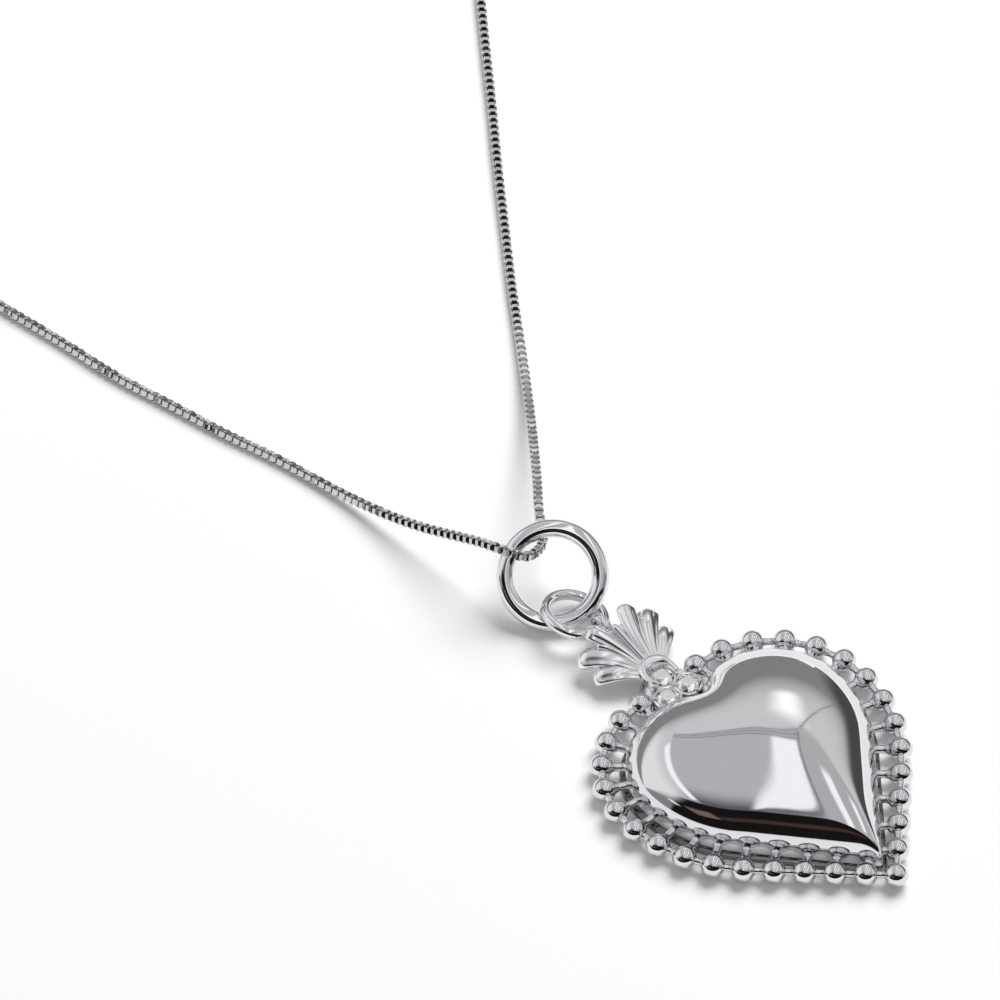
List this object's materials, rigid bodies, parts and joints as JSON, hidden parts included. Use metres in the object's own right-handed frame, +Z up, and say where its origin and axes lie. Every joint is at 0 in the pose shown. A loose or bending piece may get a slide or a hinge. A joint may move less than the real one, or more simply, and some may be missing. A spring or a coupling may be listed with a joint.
{
  "type": "sacred heart pendant",
  "caption": "Puffed silver heart pendant with beaded border, flame crest and set stones, linked by two jump rings to a thin box chain.",
  "frame": {"origin": "on the table under the middle of heart and rings", "axes": "+Z up from the table through the heart's face, +Y from the heart's tip to its flame"},
  "size_m": [0.0805, 0.1113, 0.0066],
  "materials": {
    "polished_silver": "mirror polished rhodium-plated silver",
    "silver_wire": "mirror polished round wire",
    "silver_chain": "polished small box links",
    "clear_stone": "clear faceted cubic zirconia"
  },
  "bodies": {
    "chain_and_ring": {"large_jump_ring": "silver_wire", "chain_left_run": "silver_chain", "chain_top_run": "silver_chain", "chain_left_coil": "silver_chain", "chain_top_coil": "silver_chain", "clasp_hook": "silver_wire", "end_ring": "silver_wire"},
    "small_ring": {"small_jump_ring": "silver_wire"},
    "heart": {"heart_casting": "polished_silver", "stone_flame": "clear_stone", "stone_left": "clear_stone", "stone_right": "clear_stone"}
  },
  "joints": [
    {"name": "ring_swing", "type": "hinge", "parent": "chain_and_ring", "child": "small_ring", "pos_m": [-0.00028, 0.01895, 0.00333], "axis": [-0.4359, -0.4724, 0.766], "range_deg": [-60, 60]},
    {"name": "heart_swing", "type": "hinge", "parent": "small_ring", "child": "heart", "pos_m": [0, 0.01326, 0.00135], "axis": [1, 0, 0], "range_deg": [-25, 110]}
  ]
}
